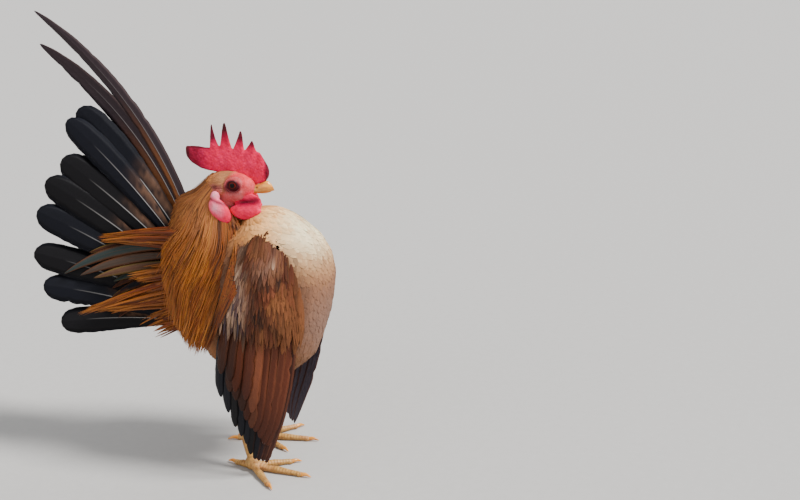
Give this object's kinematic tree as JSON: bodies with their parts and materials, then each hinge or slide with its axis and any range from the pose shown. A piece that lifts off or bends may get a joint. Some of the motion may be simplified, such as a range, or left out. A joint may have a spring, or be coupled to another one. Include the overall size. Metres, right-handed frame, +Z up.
{
  "type": "serama_chicken",
  "caption": "A serama cock at life size: breast thrust high, head drawn back, wings hanging straight down and the tail upright.",
  "frame": {"origin": "The point on the floor under the middle of the bird's bounding box; the feet stand a little ahead of it.", "axes": "+X is the way the bird faces, from its tail to its breast and beak. +Y is the bird's left. +Z is up, from the feet to the tail's tips."},
  "size_m": [0.1898, 0.103, 0.2755],
  "materials": {
    "comb_skin": "satin",
    "face_skin": "satin",
    "lobe_skin": "satin",
    "beak_horn": "satin",
    "claw_horn": "satin",
    "leg_scales": "matte",
    "eye_surface": "gloss",
    "breast_feather": "matte",
    "hackle_feather": "satin",
    "wing_feather": "matte",
    "tail_feather": "satin"
  },
  "bodies": {
    "root": {"beak_lower": "beak_horn", "beak_upper": "beak_horn", "claw_left_back": "claw_horn", "claw_left_inner": "claw_horn", "claw_left_middle": "claw_horn", "claw_left_outer": "claw_horn", "claw_right_back": "claw_horn", "claw_right_inner": "claw_horn", "claw_right_middle": "claw_horn", "claw_right_outer": "claw_horn", "comb": "comb_skin", "eye_left": "eye_surface", "eye_right": "eye_surface", "foot_left": "leg_scales", "foot_right": "leg_scales", "head": "face_skin", "lobe_left": "lobe_skin", "lobe_right": "lobe_skin", "neck": "hackle_feather", "saddle_left": "hackle_feather", "saddle_right": "hackle_feather", "shank_left": "leg_scales", "shank_right": "leg_scales", "sickle_left": "tail_feather", "sickle_right": "tail_feather", "spur_left": "claw_horn", "spur_right": "claw_horn", "tail_left": "tail_feather", "tail_right": "tail_feather", "thigh_left": "breast_feather", "thigh_right": "breast_feather", "torso": "breast_feather", "wattle_left": "comb_skin", "wattle_right": "comb_skin", "wing_left": "wing_feather", "wing_right": "wing_feather"}
  },
  "joints": []
}
